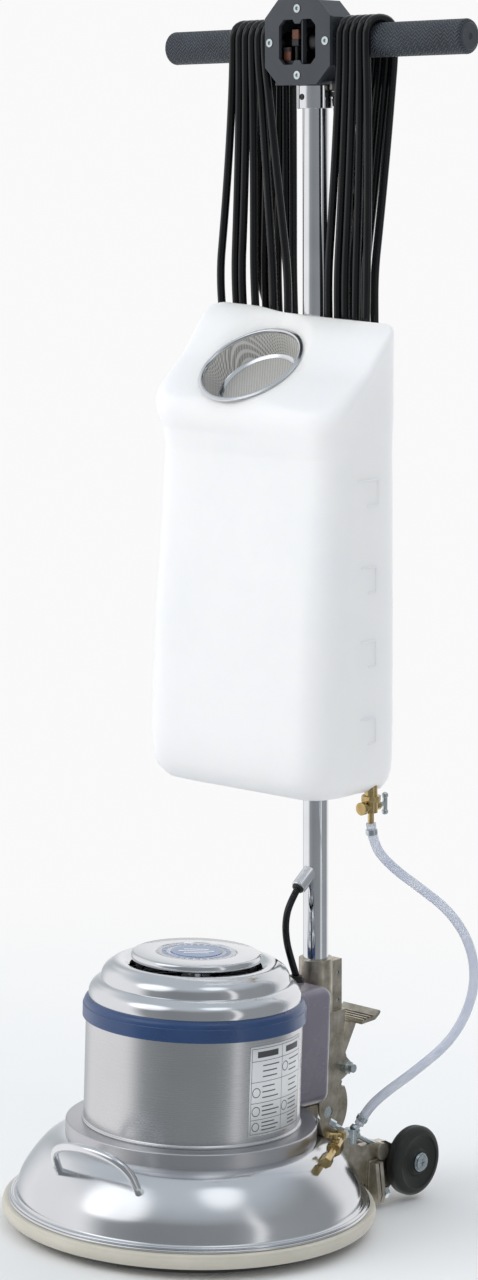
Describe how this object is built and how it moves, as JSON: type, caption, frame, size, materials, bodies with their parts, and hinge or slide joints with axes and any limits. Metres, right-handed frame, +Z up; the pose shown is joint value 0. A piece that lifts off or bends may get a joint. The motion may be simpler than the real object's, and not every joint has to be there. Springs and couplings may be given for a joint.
{
  "type": "rotary floor machine",
  "caption": "Upright rotary floor scrubber: chromed dome with a motor over a round brush, tilting pole with solution tank, twist grips, wound mains cord and transport wheels.",
  "frame": {"origin": "the point of the floor under the motor's axis", "axes": "+Z up along the motor's axis, -Y towards the front, X along the handlebar and the wheel axle"},
  "size_m": [0.372, 0.4311, 1.1675],
  "materials": {
    "mirror_chrome": "polished",
    "brushed_stainless": "satin",
    "blue_plastic": "semi-gloss",
    "beige_vinyl": "satin",
    "cast_nickel": "satin",
    "zinc_steel": "satin",
    "brass": "polished",
    "lavender_paint": "semi-gloss",
    "black_rubber": "satin",
    "grip_rubber": "matte",
    "head_paint": "semi-gloss",
    "tank_plastic": "satin",
    "clear_hose": "semi-gloss",
    "cord_vinyl": "satin",
    "machined_steel": "satin",
    "cast_aluminium": "satin",
    "copper_winding": "enamelled",
    "switch_plastic": "matte",
    "block_plastic": "matte",
    "bristle_nylon": "matte",
    "plate_foil": "satin"
  },
  "bodies": {
    "base": {"dome_cover": "mirror_chrome", "bumper_ring": "beige_vinyl", "collar_ring": "brushed_stainless", "gearbox_housing": "cast_aluminium", "motor_body": "brushed_stainless", "blue_band": "blue_plastic", "cap_cover": "mirror_chrome", "motor_frame": "cast_aluminium", "top_disc": "mirror_chrome", "badge_plate": "plate_foil", "rating_plate": "plate_foil", "stator_core": "machined_steel", "stator_windings": "copper_winding", "motor_bearings": "machined_steel", "capacitor_box": "lavender_paint", "run_capacitor": "cast_aluminium", "cable_grommet": "black_rubber", "carry_handle": "mirror_chrome", "base_yoke": "cast_nickel", "base_fasteners": "zinc_steel", "wheel_arm_right": "cast_nickel", "wheel_arm_left": "cast_nickel", "wheel_axle": "machined_steel", "spray_valve": "zinc_steel", "brass_cock": "brass", "motor_cable": "cord_vinyl"},
    "rotor": {"motor_rotor": "machined_steel", "cooling_fan": "switch_plastic"},
    "brush": {"planet_carrier": "machined_steel", "brush_block": "block_plastic", "brush_bristles": "bristle_nylon"},
    "planet_1": {"planet_gear_1": "machined_steel"},
    "planet_2": {"planet_gear_2": "machined_steel"},
    "planet_3": {"planet_gear_3": "machined_steel"},
    "wheel_r": {"wheel_right": "black_rubber"},
    "wheel_l": {"wheel_left": "black_rubber"},
    "cock": {"cock_lever": "brass"},
    "handle": {"pole_tube": "mirror_chrome", "pole_foot": "cast_nickel", "handle_fasteners": "zinc_steel", "solution_tank": "tank_plastic", "tank_brackets": "machined_steel", "tank_tap": "brass", "cord_hook": "mirror_chrome", "socket_collar": "mirror_chrome", "head_housing": "head_paint", "head_plate": "head_paint", "switch_block": "switch_plastic", "mains_winding_right": "cord_vinyl", "mains_winding_left": "cord_vinyl", "mains_plug": "black_rubber", "mains_lead": "cord_vinyl", "mains_tail": "cord_vinyl", "solution_hose": "clear_hose"},
    "pedal": {"foot_pedal": "cast_nickel"},
    "key": {"tap_key": "zinc_steel"},
    "strainer_cup": {"strainer": "machined_steel"},
    "twist": {"twist_bar": "machined_steel", "grips": "grip_rubber"},
    "plunger": {"switch_plunger": "switch_plastic"}
  },
  "joints": [
    {"name": "handle_tilt", "type": "hinge", "parent": "base", "child": "handle", "pos_m": [0, 0.183, 0.076], "axis": [-1, 0, 0], "range_deg": [0, 55], "deforming": ["motor_cable", "solution_hose"]},
    {"name": "brush_spin", "type": "hinge", "parent": "base", "child": "brush", "pos_m": [0, 0, 0.05], "axis": [0, 0, 1], "continuous": true},
    {"name": "rotor_spin", "type": "hinge", "parent": "base", "child": "rotor", "pos_m": [0, 0, 0.15], "axis": [0, 0, 1], "continuous": true},
    {"name": "planet_1_spin", "type": "hinge", "parent": "brush", "child": "planet_1", "pos_m": [0.03375, 0, 0.08], "axis": [0, 0, 1], "continuous": true},
    {"name": "planet_2_spin", "type": "hinge", "parent": "brush", "child": "planet_2", "pos_m": [-0.01688, 0.02923, 0.08], "axis": [0, 0, 1], "continuous": true},
    {"name": "planet_3_spin", "type": "hinge", "parent": "brush", "child": "planet_3", "pos_m": [-0.01688, -0.02923, 0.08], "axis": [0, 0, 1], "continuous": true},
    {"name": "wheel_right_spin", "type": "hinge", "parent": "base", "child": "wheel_r", "pos_m": [0.102, 0.2145, 0.0395], "axis": [1, 0, 0], "continuous": true},
    {"name": "wheel_left_spin", "type": "hinge", "parent": "base", "child": "wheel_l", "pos_m": [-0.102, 0.2145, 0.0395], "axis": [1, 0, 0], "continuous": true},
    {"name": "cock_turn", "type": "hinge", "parent": "base", "child": "cock", "pos_m": [0.125, 0.067, 0.096], "axis": [0, 0, 1], "range_deg": [0, 90]},
    {"name": "pedal_press", "type": "hinge", "parent": "handle", "child": "pedal", "pos_m": [0, 0.20586, 0.1192], "axis": [-1, 0, 0], "range_deg": [0, 14], "stiffness_Nm_per_rad": 4, "springref_deg": -5.73},
    {"name": "tap_turn", "type": "hinge", "parent": "handle", "child": "key", "pos_m": [0.105, 0.14235, 0.40637], "axis": [0, 0.9987, 0.0502], "range_deg": [0, 90]},
    {"name": "strainer_lift", "type": "slide", "parent": "handle", "child": "strainer_cup", "axis": [0.0499, -0.6386, 0.7679], "range_m": [0, 0.06]},
    {"name": "grip_twist", "type": "hinge", "parent": "handle", "child": "twist", "pos_m": [0, 0.13004, 1.12867], "axis": [1, 0, 0], "range_deg": [0, 15], "stiffness_Nm_per_rad": 2, "springref_deg": -5.73},
    {"name": "switch_press", "type": "slide", "parent": "handle", "child": "plunger", "axis": [0, 0.0502, -0.9987], "range_m": [0, 0.0045]}
  ],
  "couplings": [
    {"joint": "rotor_spin", "follows": "brush_spin", "ratio": 7.5},
    {"joint": "planet_1_spin", "follows": "brush_spin", "ratio": -2.3636},
    {"joint": "planet_2_spin", "follows": "brush_spin", "ratio": -2.3636},
    {"joint": "planet_3_spin", "follows": "brush_spin", "ratio": -2.3636},
    {"joint": "switch_press", "follows": "grip_twist", "m_per_rad": 0.016807}
  ]
}
